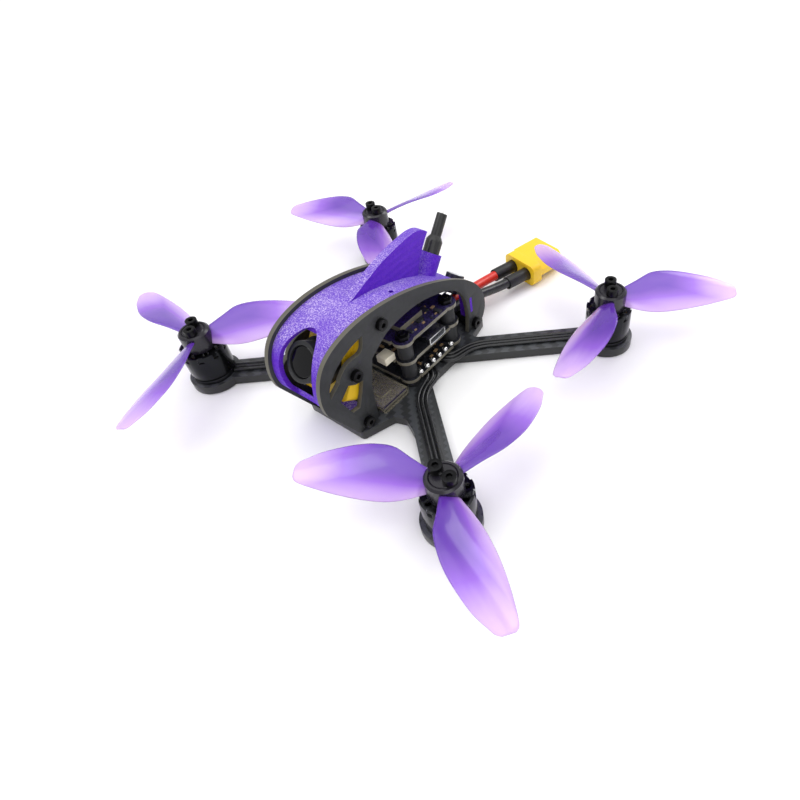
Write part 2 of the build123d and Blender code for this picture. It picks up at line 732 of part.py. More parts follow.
# Antenna: a shrink sleeve that steps down, about a thin whip
thick_end = 10.1
thin_start = 11.6
thin_end = 18.4
thin_radius = 1.65
whip_radius = 0.5
whip_end = 26.0
sleeve_start = -3.5
with BuildPart() as antenna_sleeve:
    add(ring(antenna_plane.offset(sleeve_start), sleeve_radius, 0, thick_end - sleeve_start))
    with BuildSketch(antenna_plane.offset(thick_end)):
        Circle(sleeve_radius)
    with BuildSketch(antenna_plane.offset(thin_start)):
        Circle(thin_radius)
    loft()
    add(ring(antenna_plane.offset(thin_start), thin_radius, 0, thin_end - thin_start))
    add(ring(antenna_plane.offset(sleeve_start), whip_radius, 0, thin_end - sleeve_start), mode=Mode.SUBTRACT)
hand_in(antenna_sleeve.part, "antenna_sleeve")

with BuildPart() as antenna_whip:
    add(ring(antenna_plane.offset(sleeve_start), whip_radius, 0, whip_end - sleeve_start))
hand_in(antenna_whip.part, "antenna_whip")


def corner_radii(points):
    """The arc radius at each inner corner of a route: 0.45 of the shorter run over tan of half the turn."""
    radii = []
    for before, here, after in zip(points, points[1:], points[2:]):
        run_in, run_out = here - before, after - here
        half_turn = radians(run_in.get_angle(run_out)) / 2
        radii.append(0.45 * min(run_in.length, run_out.length) / tan(half_turn))
    return radii


def cord(points, radius):
    """A round cord swept along straight runs joined by tangent arcs."""
    radii = corner_radii(points)
    with BuildPart() as tube:
        with BuildLine():
            route = FilletPolyline(*points, radius=radii)
        with BuildSketch(Plane(origin=points[0], z_dir=route % 0)):
            Circle(radius)
        sweep()
    share = tube.part.volume / (route.length * pi * radius ** 2)
    print("cord", round(route.length, 1), "radii", [round(r, 1) for r in radii], "share", round(share, 4))
    return tube.part


# Battery pigtail: two leads from the ESC's rear pads to the connector lying behind the drone
connector_yaw = 14.0
connector_face = Vector(6.6, 56.0, connector_height / 2 + 0.1)
aft = Vector(sin(radians(connector_yaw)), cos(radians(connector_yaw)), 0)
across = Vector(aft.Y, -aft.X, 0)
cup_depth = 2.0
lead_sleeve_outer = lead_radius + sleeve_gap + lead_sleeve_wall
lead_sleeve_length = 11.0
with BuildPart() as lead_sleeves:
    for side, name in ((-1, "red"), (1, "black")):
        lead_end = connector_face + across * (side * pin_pitch / 2) + aft * cup_depth
        before_end = connector_face + across * (side * (pin_pitch / 2 - 0.1)) - aft * 11.6 + Vector(0, 0, 0.5)
        lead_route = [Vector(lead_middle + side * lead_spread, lead_start_y, lead_z),
                      Vector(lead_middle + 0.4 + side * lead_spread, 20.0, lead_z + 1.0),
                      Vector(lead_middle + 1.8 + side * (lead_spread + 0.1), 32.0, lead_z - 0.9),
                      before_end, lead_end]
        hand_in(cord(lead_route, lead_radius), f"power_lead_{name}")
        along = (lead_end - before_end).normalized()
        start = lead_end - along * (lead_sleeve_length + 0.4)
        add(ring(Plane(start, z_dir=along), lead_sleeve_outer, lead_radius + sleeve_gap, lead_sleeve_length))
hand_in(lead_sleeves.part, "lead_sleeves")

connector_length = 15.5
flange_length = 4.0
socket_wall = 1.1
connector_plane = Plane(connector_face, x_dir=across, z_dir=aft)
cavity_depth = 9.0
with BuildPart() as connector_housing:
    with BuildSketch(connector_plane):
        RectangleRounded(connector_width, connector_height, 2.2)
    extrude(amount=flange_length)
    with BuildSketch(connector_plane.offset(flange_length)):
        with BuildLine():
            half_width, half_height, cut = connector_width / 2 - 0.5, connector_height / 2 - 0.3, 2.6
            Polyline((-half_width, -half_height), (half_width - cut, -half_height),
                     (half_width, -half_height + cut), (half_width, half_height - cut),
                     (half_width - cut, half_height), (-half_width, half_height), close=True)
        make_face()
    extrude(amount=connector_length - flange_length)
    with BuildSketch(connector_plane):
        with Locations((-pin_pitch / 2, 0), (pin_pitch / 2, 0)):
            Circle(lead_sleeve_outer + 0.15)
    extrude(amount=cup_depth, mode=Mode.SUBTRACT)
    with BuildSketch(connector_plane.offset(cup_depth)):
        with Locations((-pin_pitch / 2, 0), (pin_pitch / 2, 0)):
            Circle(1.7)
    extrude(amount=connector_length, mode=Mode.SUBTRACT)
    with BuildSketch(connector_plane.offset(connector_length - cavity_depth)):
        with Locations((-0.6, 0)):
            RectangleRounded(connector_width - 2 * socket_wall - 2.2,
                             connector_height - 2 * socket_wall - 0.6, 1.2)
    extrude(amount=cavity_depth, mode=Mode.SUBTRACT)
hand_in(connector_housing.part, "connector_housing")

with BuildPart() as connector_pins:
    with BuildSketch(connector_plane.offset(cup_depth + 0.15)):
        with Locations((-pin_pitch / 2, 0), (pin_pitch / 2, 0)):
            Circle(1.7)
    extrude(amount=connector_length - cup_depth - 1.5)
hand_in(connector_pins.part, "connector_pins")

# Motor wires: three from each side of the ESC along each arm to the motor's base
wire_radius = 0.55
wire_pitch = 1.3
with BuildPart() as motor_wires:
    wire_z = base_top + wire_radius + 0.05
    for side, end in ((1, -1), (1, 1), (-1, -1), (-1, 1)):
        arm = radians(arm_angle)
        for step in (-1, 0, 1):
            shift = step * wire_pitch
            near = motor_reach - bell_radius - 0.05
            spots = [(stack_half - 1.5, 2.6 - shift * 0.9, wire_z + 0.6),
                     (board_edge + 1.5 + shift, 4.0 - shift, wire_z + 0.5),
                     (21.5 * cos(arm) + shift * sin(arm), 21.5 * sin(arm) - shift * cos(arm), wire_z),
                     (near * cos(arm) + shift * sin(arm), near * sin(arm) - shift * cos(arm), wire_z)]
            route = [Vector(side * x, end * y, z) for x, y, z in spots]
            add(cord(route, wire_radius))
hand_in(motor_wires.part, "motor_wires")
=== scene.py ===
import json
import math

import bmesh
import bpy
from mathutils import Matrix, Vector


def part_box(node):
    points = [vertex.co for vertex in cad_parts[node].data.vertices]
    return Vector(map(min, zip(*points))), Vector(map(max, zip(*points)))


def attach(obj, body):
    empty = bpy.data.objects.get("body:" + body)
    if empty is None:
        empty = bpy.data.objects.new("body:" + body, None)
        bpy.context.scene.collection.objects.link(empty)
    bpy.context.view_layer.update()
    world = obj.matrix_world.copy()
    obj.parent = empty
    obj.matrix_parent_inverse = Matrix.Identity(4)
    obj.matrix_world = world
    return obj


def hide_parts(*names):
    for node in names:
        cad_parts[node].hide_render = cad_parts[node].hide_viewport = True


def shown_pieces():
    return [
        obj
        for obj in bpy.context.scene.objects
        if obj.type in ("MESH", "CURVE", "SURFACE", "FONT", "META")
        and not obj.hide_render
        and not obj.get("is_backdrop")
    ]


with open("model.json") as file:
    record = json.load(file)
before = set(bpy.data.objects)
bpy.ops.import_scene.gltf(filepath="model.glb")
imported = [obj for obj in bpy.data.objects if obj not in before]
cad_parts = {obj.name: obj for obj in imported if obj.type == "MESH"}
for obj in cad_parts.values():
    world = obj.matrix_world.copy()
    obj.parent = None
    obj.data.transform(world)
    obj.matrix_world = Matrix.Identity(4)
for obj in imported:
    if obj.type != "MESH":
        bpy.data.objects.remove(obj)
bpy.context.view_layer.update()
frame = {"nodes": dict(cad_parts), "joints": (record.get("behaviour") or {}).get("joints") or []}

millimetre = 0.001


def hexColour(code):
    channels = [int(code[i:i + 2], 16) / 255 for i in (1, 3, 5)]
    linear = [c / 12.92 if c <= 0.04045 else ((c + 0.055) / 1.055) ** 2.4 for c in channels]
    return (*linear, 1.0)


def addNode(tree, kind, inputs=None, **settings):
    node = tree.nodes.new(kind)
    for name, value in settings.items():
        setattr(node, name, value)
    for socket, value in (inputs or {}).items():
        if isinstance(value, bpy.types.NodeSocket):
            tree.links.new(value, node.inputs[socket])
        else:
            node.inputs[socket].default_value = value
    return node


def newSurface(name, colour, metallic=0.0, roughness=0.5, **sockets):
    material = bpy.data.materials.new(name)
    material.use_nodes = True
    shader = material.node_tree.nodes["Principled BSDF"]
    shader.inputs["Base Color"].default_value = hexColour(colour)
    shader.inputs["Metallic"].default_value = metallic
    shader.inputs["Roughness"].default_value = roughness
    for socket, value in sockets.items():
        shader.inputs[socket.replace("_", " ")].default_value = value
    material.diffuse_color = hexColour(colour)
    return material, material.node_tree, shader


# A surface whose colour and gloss drift a little over a grain of a real size, with that grain as its bump
def grainedSurface(name, colour, otherColour, grain, depth, metallic=0.0, roughness=0.5, spread=0.12,
                   **sockets):
    material, tree, shader = newSurface(name, colour, metallic, roughness, **sockets)
    place = addNode(tree, "ShaderNodeTexCoord")
    noise = addNode(tree, "ShaderNodeTexNoise", {"Vector": place.outputs["Object"],
                    "Scale": 1 / (grain * millimetre), "Detail": 3.0, "Roughness": 0.6})
    paint = addNode(tree, "ShaderNodeMix", {"Factor": noise.outputs["Fac"], "A": hexColour(colour),
                    "B": hexColour(otherColour)}, data_type="RGBA")
    gloss = addNode(tree, "ShaderNodeMapRange", {"Value": noise.outputs["Fac"],
                    "To Min": roughness - spread, "To Max": roughness + spread})
    bump = addNode(tree, "ShaderNodeBump", {"Height": noise.outputs["Fac"], "Strength": 0.6,
                   "Distance": depth * millimetre})
    tree.links.new(paint.outputs["Result"], shader.inputs["Base Color"])
    tree.links.new(gloss.outputs["Result"], shader.inputs["Roughness"])
    tree.links.new(bump.outputs["Normal"], shader.inputs["Normal"])
    return material


# Camera: three-quarter view from above, over the nose's left corner
viewpoint = {"place": (0.10884, -0.09427, 0.12812), "azimuth": 41.56, "elevation": 46.80, "roll": 6.74,
             "lens": 25.76, "sensor": 36, "nearest": 0.005, "shift": (-0.0906, 0.0008)}
cameraData = bpy.data.cameras.new("camera")
cameraData.lens = viewpoint["lens"]
cameraData.sensor_width = viewpoint["sensor"]
cameraData.shift_x, cameraData.shift_y = viewpoint["shift"]
cameraData.clip_start = viewpoint["nearest"]
camera = bpy.data.objects.new("viewCamera", cameraData)
bpy.context.scene.collection.objects.link(camera)
turn, rise = math.radians(viewpoint["azimuth"]), math.radians(viewpoint["elevation"])
gaze = Vector((-math.sin(turn) * math.cos(rise), math.cos(turn) * math.cos(rise), -math.sin(rise)))
camera.rotation_mode = "QUATERNION"
level = gaze.to_track_quat("-Z", "Y").to_matrix()
rolled = level @ Matrix.Rotation(-math.radians(viewpoint["roll"]), 3, "Z")
camera.rotation_quaternion = rolled.to_quaternion()
camera.location = viewpoint["place"]
bpy.context.scene.camera = camera

# Studio: a pale floor in a white tent, under a broad overhead light, with three soft area lights
studio = {"floor": 3.0, "drop": 0.0003, "tent": 0.66, "sky": 1.35, "skyWidth": 70,
          "lights": (("key", (-0.30, -0.35, 0.60), 0.30, 1.2), ("fill", (0.50, -0.30, 0.35), 0.40, 0.8),
                     ("back", (0.15, 0.55, 0.35), 0.30, 1.2))}
floorMesh = bpy.data.meshes.new("floor")
half = studio["floor"] / 2
floorCorners = ((-half, -half), (half, -half), (half, half), (-half, half))
floorMesh.from_pydata([(x, y, -studio["drop"]) for x, y in floorCorners], [], [(0, 1, 2, 3)])
floor = bpy.data.objects.new("floor", floorMesh)
bpy.context.scene.collection.objects.link(floor)
floorMesh.materials.append(grainedSurface("paperBackdrop", "#f4f4f4", "#f8f8f8", 8, 0.02, roughness=0.75))
floor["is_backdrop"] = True
world = bpy.data.worlds.new("tent")
world.use_nodes = True
world.node_tree.nodes["Background"].inputs["Color"].default_value = hexColour("#ffffff")
world.node_tree.nodes["Background"].inputs["Strength"].default_value = studio["tent"]
bpy.context.scene.world = world
bpy.context.scene.view_settings.view_transform = "Standard"
overhead = bpy.data.lights.new("overhead", "SUN")
overhead.energy = studio["sky"]
overhead.angle = math.radians(studio["skyWidth"])
bpy.context.scene.collection.objects.link(bpy.data.objects.new("overhead", overhead))
for name, place, size, power in studio["lights"]:
    lightData = bpy.data.lights.new(name, "AREA")
    lightData.size = size
    lightData.energy = power
    light = bpy.data.objects.new(name, lightData)
    bpy.context.scene.collection.objects.link(light)
    light.location = place
    light.rotation_mode = "QUATERNION"
    light.rotation_quaternion = (-Vector(place)).to_track_quat("-Z", "Y")
print("studio ready")


# A wave node turns by this many radians in each unit of its scaled space
waveRadians = 20


# Twill carbon plate: tows 1.6 to 2 mm wide, woven two over two and pressed in epoxy, dark and paler by turns.
# The cut edge has a paler colour of its own.
def twillPlate(name, faceAxis, tow, faceColour, towColour, edgeColour, roughness, coat):
    material, tree, shader = newSurface(name, faceColour, 0.0, roughness, Coat_Weight=coat,
                                        Coat_Roughness=0.12)
    place = addNode(tree, "ShaderNodeTexCoord")
    scaled = addNode(tree, "ShaderNodeVectorMath", {0: place.outputs["Object"],
                     "Scale": 1 / (tow * millimetre)}, operation="SCALE")
    parts = addNode(tree, "ShaderNodeSeparateXYZ", {"Vector": scaled.outputs["Vector"]})
    first, second = [parts.outputs[axis] for axis in "XYZ" if axis != faceAxis]
    ways = (first, second)
    cells = [addNode(tree, "ShaderNodeMath", {0: way}, operation="FLOOR").outputs[0] for way in ways]
    across = [addNode(tree, "ShaderNodeMath", {0: way}, operation="FRACT").outputs[0] for way in ways]
    stair = addNode(tree, "ShaderNodeMath", {0: cells[0], 1: cells[1]}, operation="ADD")
    turnOfFour = addNode(tree, "ShaderNodeMath", {0: stair.outputs[0], 1: 4.0}, operation="FLOORED_MODULO")
    over = addNode(tree, "ShaderNodeMath", {0: turnOfFour.outputs[0], 1: 1.5}, operation="GREATER_THAN")
    crown = addNode(tree, "ShaderNodeMix", {"Factor": over.outputs[0], "A": across[0], "B": across[1]},
                    data_type="FLOAT")
    hump = addNode(tree, "ShaderNodeMath", {0: crown.outputs["Result"], 1: 0.5}, operation="SUBTRACT")
    slope = addNode(tree, "ShaderNodeMath", {0: hump.outputs[0], 1: hump.outputs[0]}, operation="MULTIPLY")
    strands = addNode(tree, "ShaderNodeTexNoise", {"Vector": place.outputs["Object"],
                      "Scale": 1 / (0.25 * millimetre), "Detail": 2.0})
    shade = addNode(tree, "ShaderNodeMath", {0: over.outputs[0], 1: 0.75, 2: strands.outputs["Fac"]},
                    operation="MULTIPLY_ADD")
    dim = addNode(tree, "ShaderNodeMath", {0: shade.outputs[0], 1: 0.55}, operation="MULTIPLY")
    weave = addNode(tree, "ShaderNodeMix", {"Factor": dim.outputs[0], "A": hexColour(faceColour),
                    "B": hexColour(towColour)}, data_type="RGBA")
    outward = addNode(tree, "ShaderNodeSeparateXYZ", {"Vector": place.outputs["Normal"]})
    facing = addNode(tree, "ShaderNodeMath", {0: outward.outputs[faceAxis]}, operation="ABSOLUTE")
    onEdge = addNode(tree, "ShaderNodeMath", {0: facing.outputs[0], 1: 0.85}, operation="LESS_THAN")
    paint = addNode(tree, "ShaderNodeMix", {"Factor": onEdge.outputs[0], "A": weave.outputs["Result"],
                    "B": hexColour(edgeColour)}, data_type="RGBA")
    bump = addNode(tree, "ShaderNodeBump", {"Height": slope.outputs[0], "Strength": 0.35,
                   "Distance": 0.06 * millimetre}, invert=True)
    tree.links.new(paint.outputs["Result"], shader.inputs["Base Color"])
    tree.links.new(bump.outputs["Normal"], shader.inputs["Normal"])
    return material


# Printed flexible plastic: a fuzzy skin of fine strands, deep on its flanks, with a painted highlight of pale
# specks and haze on top and towards the nose, where the light falls
# Lengths are in millimetres. A wave turns one radian in each layerRadian, which sets its bands 2.2 mm apart.
def printedShell():
    print3d = {"deep": "#5010b8", "body": "#6426be", "paintedHighlight": "#cbbbe6", "grain": 0.42, "patch": 9,
               "layerRadian": 0.35, "fuzz": 0.2, "highlightHaze": 0.12}
    material, tree, shader = newSurface("printedViolet", print3d["body"], 0.0, 0.62, Sheen_Weight=0.05,
                                        Specular_IOR_Level=0.25)
    place = addNode(tree, "ShaderNodeTexCoord")
    fine = addNode(tree, "ShaderNodeTexNoise", {"Vector": place.outputs["Object"],
                   "Scale": 1 / (print3d["grain"] * millimetre), "Detail": 4.0, "Roughness": 0.75})
    patches = addNode(tree, "ShaderNodeTexNoise", {"Vector": place.outputs["Object"],
                      "Scale": 1 / (print3d["patch"] * millimetre), "Detail": 2.0})
    outward = addNode(tree, "ShaderNodeSeparateXYZ", {"Vector": place.outputs["Normal"]})
    spot = addNode(tree, "ShaderNodeSeparateXYZ", {"Vector": place.outputs["Object"]})
    # Painted highlight: the pale colour goes only on faces turned up and towards the nose, where the light
    # falls, in random patches there
    upward = addNode(tree, "ShaderNodeMapRange", {"Value": outward.outputs["Z"], "From Min": 0.35,
                     "From Max": 0.95})
    forward = addNode(tree, "ShaderNodeMapRange", {"Value": spot.outputs["Y"], "From Min": 0.016,
                      "From Max": -0.004, "To Min": 0.35})
    litFaces = addNode(tree, "ShaderNodeMath", {0: upward.outputs["Result"], 1: forward.outputs["Result"]},
                    operation="MULTIPLY")
    speck = addNode(tree, "ShaderNodeMapRange", {"Value": fine.outputs["Fac"], "From Min": 0.46,
                    "From Max": 0.64})
    drift = addNode(tree, "ShaderNodeMapRange", {"Value": patches.outputs["Fac"], "From Min": 0.3,
                    "From Max": 0.7, "To Min": 0.45, "To Max": 1.0})
    highlightStrength = addNode(tree, "ShaderNodeMath", {0: litFaces.outputs[0], 1: drift.outputs["Result"]},
                       operation="MULTIPLY")
    hazedHighlight = addNode(tree, "ShaderNodeMath", {0: highlightStrength.outputs[0], 1: print3d["highlightHaze"]},
                      operation="MULTIPLY")
    highlightAmount = addNode(tree, "ShaderNodeMath", {0: speck.outputs["Result"], 1: highlightStrength.outputs[0],
                     2: hazedHighlight.outputs[0]}, operation="MULTIPLY_ADD", use_clamp=True)
    skin = addNode(tree, "ShaderNodeMix", {"Factor": speck.outputs["Result"],
                   "A": hexColour(print3d["deep"]), "B": hexColour(print3d["body"])}, data_type="RGBA")
    # Painted highlight: the pale colour is mixed in on the random specks, with an even haze of it, only where
    # the light falls
    paint = addNode(tree, "ShaderNodeMix", {"Factor": highlightAmount.outputs[0], "A": skin.outputs["Result"],
                    "B": hexColour(print3d["paintedHighlight"])}, data_type="RGBA")
    layers = addNode(tree, "ShaderNodeTexWave", {"Vector": place.outputs["Object"], "Distortion": 1.5,
                     "Scale": 1 / (waveRadians * print3d["layerRadian"] * millimetre)}, bands_direction="Z")
    relief = addNode(tree, "ShaderNodeMath", {0: fine.outputs["Fac"], 1: 1.6, 2: layers.outputs["Fac"]},
                     operation="MULTIPLY_ADD")
    bump = addNode(tree, "ShaderNodeBump", {"Height": relief.outputs[0], "Strength": 0.55,
                   "Distance": print3d["fuzz"] * millimetre})
    tree.links.new(paint.outputs["Result"], shader.inputs["Base Color"])
    tree.links.new(bump.outputs["Normal"], shader.inputs["Normal"])
    return material


# Tinted polycarbonate, moulded clear: deep violet at the root, milky pink towards tip and trailing edge
def tintedBlade():
    tint = {"deep": "#5f2cb4", "mid": "#a066e4", "pale": "#ecccfc"}
    material, tree, shader = newSurface("tintedPolycarbonate", tint["mid"], 0.0, 0.2, IOR=1.4, Alpha=0.82,
                                        Transmission_Weight=0.35, Coat_Weight=0.3, Coat_Roughness=0.06)
    place = addNode(tree, "ShaderNodeTexCoord")
    strip = addNode(tree, "ShaderNodeSeparateXYZ", {"Vector": place.outputs["UV"]})
    alongSpan = addNode(tree, "ShaderNodeMapRange", {"Value": strip.outputs["X"], "From Min": 0.35,
                        "From Max": 1.0, "To Max": 0.85}, interpolation_type="SMOOTHSTEP")
    alongChord = addNode(tree, "ShaderNodeMapRange", {"Value": strip.outputs["Y"], "From Min": 0.35,
                         "From Max": 1.0, "To Max": 0.75}, interpolation_type="SMOOTHSTEP")
    thinness = addNode(tree, "ShaderNodeMath", {0: alongSpan.outputs["Result"],
                       1: alongChord.outputs["Result"]}, operation="MAXIMUM")
    flow = addNode(tree, "ShaderNodeTexNoise", {"Vector": place.outputs["UV"], "Scale": 3.0})
    streaked = addNode(tree, "ShaderNodeMath", {0: flow.outputs["Fac"], 1: 0.18, 2: thinness.outputs[0]},
                       operation="MULTIPLY_ADD")
    paint = addNode(tree, "ShaderNodeValToRGB", {"Fac": streaked.outputs[0]})
    ramp = paint.color_ramp
    ramp.elements[0].color = hexColour(tint["deep"])
    ramp.elements[1].color = hexColour(tint["pale"])
    ramp.elements.new(0.45).color = hexColour(tint["mid"])
    tree.links.new(paint.outputs["Color"], shader.inputs["Base Color"])
    return material


# Black anodised aluminium, turned on a lathe: faint rings 1.6 mm apart, and slanted cuts in bare metal
def anodisedBell(name, axis):
    ringRadian = 0.25
    material, tree, shader = newSurface(name, "#232427", 0.9, 0.2)
    place = addNode(tree, "ShaderNodeTexCoord")
    fromAxis = addNode(tree, "ShaderNodeVectorMath", {0: place.outputs["Object"], 1: axis},
                       operation="SUBTRACT")
    flat = addNode(tree, "ShaderNodeVectorMath", {0: fromAxis.outputs["Vector"], 1: (1, 1, 0)},
                   operation="MULTIPLY")
    radial = addNode(tree, "ShaderNodeVectorMath", {0: flat.outputs["Vector"]}, operation="NORMALIZE")
    facing = addNode(tree, "ShaderNodeVectorMath", {0: radial.outputs["Vector"],
                     1: place.outputs["Normal"]}, operation="DOT_PRODUCT")
    sideways = addNode(tree, "ShaderNodeMath", {0: facing.outputs["Value"]}, operation="ABSOLUTE")
    outward = addNode(tree, "ShaderNodeSeparateXYZ", {"Vector": place.outputs["Normal"]})
    upright = addNode(tree, "ShaderNodeMath", {0: outward.outputs["Z"]}, operation="ABSOLUTE")
    larger = addNode(tree, "ShaderNodeMath", {0: sideways.outputs[0], 1: upright.outputs[0]},
                     operation="MAXIMUM")
    milled = addNode(tree, "ShaderNodeMath", {0: larger.outputs[0], 1: 0.8}, operation="LESS_THAN")
    paint = addNode(tree, "ShaderNodeMix", {"Factor": milled.outputs[0], "A": hexColour("#232427"),
                    "B": hexColour("#d4d5d8")}, data_type="RGBA")
    turned = addNode(tree, "ShaderNodeTexWave", {"Vector": place.outputs["Object"],
                     "Scale": 1 / (waveRadians * ringRadian * millimetre), "Distortion": 0.4},
                     bands_direction="Z")
    bump = addNode(tree, "ShaderNodeBump", {"Height": turned.outputs["Fac"], "Strength": 0.12,
                   "Distance": 0.02 * millimetre})
    tree.links.new(paint.outputs["Result"], shader.inputs["Base Color"])
    tree.links.new(bump.outputs["Normal"], shader.inputs["Normal"])
    return material


# Board laminate under dark solder mask: glossy, with the copper tracks just showing through as paler lines
def maskedBoard(name, mask, track):
    material, tree, shader = newSurface(name, mask, 0.0, 0.32, Coat_Weight=0.3)
    place = addNode(tree, "ShaderNodeTexCoord")
    tracks = addNode(tree, "ShaderNodeTexVoronoi", {"Vector": place.outputs["Object"],
                     "Scale": 1 / (1.1 * millimetre)}, distance="MANHATTAN", feature="DISTANCE_TO_EDGE")
    line = addNode(tree, "ShaderNodeMath", {0: tracks.outputs["Distance"], 1: 0.09}, operation="LESS_THAN")
    outward = addNode(tree, "ShaderNodeSeparateXYZ", {"Vector": place.outputs["Normal"]})
    level = addNode(tree, "ShaderNodeMath", {0: outward.outputs["Z"]}, operation="ABSOLUTE")
    edge = addNode(tree, "ShaderNodeMath", {0: level.outputs[0], 1: 0.5}, operation="LESS_THAN")
    face = addNode(tree, "ShaderNodeMix", {"Factor": line.outputs[0], "A": hexColour(mask),
                   "B": hexColour(track)}, data_type="RGBA")
    paint = addNode(tree, "ShaderNodeMix", {"Factor": edge.outputs[0], "A": face.outputs["Result"],
                    "B": hexColour("#6f6b5e")}, data_type="RGBA")
    tree.links.new(paint.outputs["Result"], shader.inputs["Base Color"])
    return material


# Aluminium can in a dark sleeve: only the crimped top is bare metal
def cannedCapacitor(axis):
    material, tree, shader = newSurface("sleevedCan", "#1b1a26", 0.2, 0.3)
    place = addNode(tree, "ShaderNodeTexCoord")
    facing = addNode(tree, "ShaderNodeVectorMath", {0: place.outputs["Normal"], 1: axis},
                     operation="DOT_PRODUCT")
    top = addNode(tree, "ShaderNodeMath", {0: facing.outputs["Value"], 1: 0.55}, operation="GREATER_THAN")
    paint = addNode(tree, "ShaderNodeMix", {"Factor": top.outputs[0], "A": hexColour("#1b1a26"),
                    "B": hexColour("#c4c6ca")}, data_type="RGBA")
    scuffs = addNode(tree, "ShaderNodeTexNoise", {"Vector": place.outputs["Object"], "Scale": 900.0})
    bump = addNode(tree, "ShaderNodeBump", {"Height": scuffs.outputs["Fac"], "Strength": 0.2,
                   "Distance": 0.03 * millimetre})
    tree.links.new(paint.outputs["Result"], shader.inputs["Base Color"])
    tree.links.new(top.outputs[0], shader.inputs["Metallic"])
    tree.links.new(bump.outputs["Normal"], shader.inputs["Normal"])
    return material


# Clear polyolefin shrink tube: thin, glossy and slightly wrinkled, so what it holds shows through
def clearShrink():
    material, tree, shader = newSurface("clearShrinkTube", "#b8b098", 0.0, 0.1, Alpha=0.16, Coat_Weight=0.6)
    place = addNode(tree, "ShaderNodeTexCoord")
    wrinkles = addNode(tree, "ShaderNodeTexNoise", {"Vector": place.outputs["Object"], "Scale": 420.0,
                       "Detail": 3.0, "Distortion": 1.2})
    bump = addNode(tree, "ShaderNodeBump", {"Height": wrinkles.outputs["Fac"], "Strength": 0.9,
                   "Distance": 0.5 * millimetre})
    tree.links.new(bump.outputs["Normal"], shader.inputs["Normal"])
    return material


# Copper wire in clear enamel, wound in turns that catch the light one by one
enamelledCopper = grainedSurface("enamelledCopper", "#b0642c", "#8a4a1e", 0.5, 0.02, 0.9, 0.32)
# Black oxide steel: a thin dark skin over bright metal, slightly oily
blackSteel = grainedSurface("blackOxideSteel", "#1d1d1f", "#101012", 0.3, 0.01, 0.8, 0.34)
# Ground steel shaft: bright and hard, with a fine drawn grain
groundSteel = grainedSurface("groundSteel", "#c9cacd", "#b0b1b5", 0.2, 0.005, 1.0, 0.22, 0.06)
# Nickel-plated magnets and laminations under a dark coat
coatedSteel = grainedSurface("coatedLaminations", "#2a2b2e", "#1c1d1f", 0.4, 0.02, 0.5, 0.4)
# Tin solder, frozen as it wetted: mirror-like with a faint frost
tinSolder = grainedSurface("tinSolder", "#e2e2e0", "#c8c8c6", 0.6, 0.02, 1.0, 0.14, 0.06)
# Nickel-plated pressed steel of the small port
nickelPort = grainedSurface("nickelPort", "#d5d6d8", "#c0c1c4", 0.5, 0.01, 1.0, 0.24, 0.06)
# Ivory nylon of the wire plug: waxy and slightly mottled
ivoryNylon = grainedSurface("ivoryNylon", "#efe9d6", "#e2dac2", 0.8, 0.02, 0.0, 0.42)
# Soft black rubber spacers: matte, dust pale at the grain
softRubber = grainedSurface("softRubber", "#1a1b1d", "#26272a", 0.5, 0.04, 0.0, 0.62)
# Black polyolefin shrink tube: satin with length-wise wrinkles
blackShrink = grainedSurface("blackShrinkTube", "#0e0e10", "#18181a", 0.7, 0.08, 0.0, 0.4)
# Silicone-jacketed wire: soft satin, slightly dusty
blackSilicone = grainedSurface("blackSilicone", "#111214", "#1b1c1f", 0.8, 0.02, 0.0, 0.3)
redSilicone = grainedSurface("redSilicone", "#d62a1c", "#b81f14", 0.8, 0.02, 0.0, 0.34)
# Glass-filled nylon of the power plug: bright yellow, satin from the mould's spark-eroded finish
yellowNylon = grainedSurface("yellowNylon", "#f7cf2a", "#efc21d", 0.35, 0.03, 0.0, 0.38)
# Moulded amber case of the lens unit
amberCase = grainedSurface("amberCase", "#f0c822", "#e0b41a", 0.3, 0.03, 0.0, 0.4)
# Black anodised lens barrel: dull, so it doesn't glare
lensBarrel = grainedSurface("lensBarrel", "#141517", "#1c1d20", 0.25, 0.03, 0.2, 0.45)
# Gold-plated pins
goldPins = grainedSurface("goldPlate", "#e0b25a", "#d3a148", 0.5, 0.005, 1.0, 0.2, 0.05)
# Black anodised standoffs
darkAlloy = grainedSurface("darkAlloy", "#1f2023", "#2b2c30", 0.4, 0.01, 0.8, 0.36)
# Milky whip of the aerial
milkyWhip = newSurface("milkyWhip", "#f2f0ec", 0.0, 0.3, Alpha=0.35)[0]
# Coated front glass: almost black, with a violet bloom from its coating
coatedGlass = newSurface("coatedGlass", "#050508", 0.0, 0.06, IOR=1.45, Specular_IOR_Level=0.3)[0]

basePlateFinish = twillPlate("twillCarbonGloss", "Z", 1.6, "#060607", "#4a4d51", "#161718", 0.36, 0.12)
sidePlateFinish = twillPlate("twillCarbonMatte", "X", 2.0, "#232526", "#2b2d2f", "#57544a", 0.55, 0.0)
canopyFinish = printedShell()
bladeFinish = tintedBlade()
blackBoard = maskedBoard("blackBoard", "#0d0e12", "#23242c")
violetBoard = maskedBoard("violetBoard", "#17122e", "#2e2850")
print("materials ready")


# The mesh that a piece's modifiers give
def evaluatedMesh(piece):
    state = bpy.context.evaluated_depsgraph_get()
    return bpy.data.meshes.new_from_object(piece.evaluated_get(state))


# How a copy is cleaned: weld distance in metres, and the angles past which it is flat, bevelled or creased
copyRules = {"weld": 2e-6, "flat": math.radians(0.8), "bevelFrom": math.radians(38),
             "creaseFrom": math.radians(32)}


